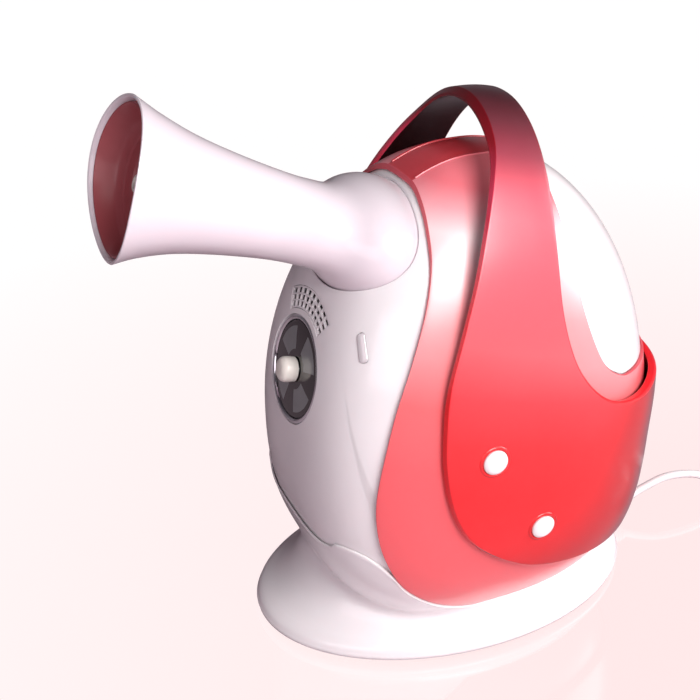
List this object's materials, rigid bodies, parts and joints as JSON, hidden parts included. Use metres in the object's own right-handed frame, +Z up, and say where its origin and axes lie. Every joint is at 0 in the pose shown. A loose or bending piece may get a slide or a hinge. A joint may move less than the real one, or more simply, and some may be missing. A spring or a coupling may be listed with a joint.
{
  "type": "facial steamer",
  "caption": "Tabletop facial steamer: egg body on an oval base, tilting trumpet steam nozzle, lift-out water tank, wrap-round carry handle, control dial and mains cord.",
  "frame": {"origin": "centre of the middle foot's underside, on the table plane, under the middle of the oval base", "axes": "+Z up, nozzle towards -Y, water tank and cord towards +Y, +X to the right of a user in front of the nozzle, who also gives left and right in the names"},
  "size_m": [0.1824, 0.4129, 0.3097],
  "materials": {
    "white_gloss": "gloss",
    "warm_white": "satin",
    "salmon_shell": "translucent gloss",
    "red_handle": "translucent gloss",
    "dusky_red": "satin",
    "black_gloss": "high gloss",
    "chrome_trim": "polished",
    "steel": "brushed",
    "aluminium": "satin",
    "rubber_foot": "matt",
    "silicone": "matt",
    "grey_plastic": "matt",
    "board_green": "satin",
    "window_smoke": "gloss"
  },
  "bodies": {
    "housing": {"front_shell": "white_gloss", "rear_shell": "white_gloss", "saddle_cover": "salmon_shell", "handle_band": "red_handle", "handle_cap_upper_right": "white_gloss", "handle_cap_lower_right": "white_gloss", "handle_cap_upper_left": "white_gloss", "handle_cap_lower_left": "white_gloss", "base_cover": "white_gloss", "base_plate": "grey_plastic", "foot_1": "rubber_foot", "foot_2": "rubber_foot", "foot_3": "rubber_foot", "foot_4": "rubber_foot", "foot_5": "rubber_foot", "base_screw_1": "steel", "base_screw_2": "steel", "base_screw_3": "steel", "base_screw_4": "steel", "ball_keeper_ring": "grey_plastic", "dial_bezel": "chrome_trim", "dial_panel": "black_gloss", "control_frame": "grey_plastic", "circuit_board": "board_green", "rotary_switch": "grey_plastic", "vent_grille": "white_gloss", "indicator_window": "window_smoke", "chassis_tray": "grey_plastic", "heater_plate": "aluminium", "boiler": "steel", "boiler_lid": "aluminium", "thermostat": "steel", "steam_hose": "silicone", "valve_cup": "warm_white", "feed_hose": "silicone", "ioniser_module": "grey_plastic", "cord_bush": "white_gloss", "power_cord": "white_gloss", "plug_body": "white_gloss", "plug_pin_left": "chrome_trim", "plug_pin_right": "chrome_trim"},
    "nozzle": {"nozzle_horn": "white_gloss", "nozzle_liner": "dusky_red", "steam_outlet_tip": "warm_white", "steam_tube": "silicone", "steam_tube_spider": "white_gloss"},
    "knob": {"control_knob": "warm_white", "knob_shaft": "steel"},
    "tank": {"water_tank": "white_gloss", "tank_seal": "silicone", "valve_cap": "warm_white", "spring_retainer": "warm_white", "valve_spring": "steel"},
    "plunger": {"valve_plunger": "silicone"}
  },
  "joints": [
    {"name": "nozzle_tilt", "type": "hinge", "parent": "housing", "child": "nozzle", "pos_m": [0, -0.0525, 0.2255], "axis": [-1, 0, 0], "range_deg": [-4, 25]},
    {"name": "knob_turn", "type": "hinge", "parent": "housing", "child": "knob", "pos_m": [0, -0.09224, 0.1585], "axis": [0, -0.977, 0.213], "range_deg": [-60, 60]},
    {"name": "tank_lift", "type": "slide", "parent": "housing", "child": "tank", "axis": [0, 0, 1], "range_m": [0, 0.12]},
    {"name": "valve_slide", "type": "slide", "parent": "tank", "child": "plunger", "axis": [0, 0, 1], "range_m": [-0.003, 0], "deforming": ["valve_spring"]}
  ],
  "couplings": [
    {"joint": "valve_slide", "follows": "tank_lift", "ratio": -0.025}
  ]
}
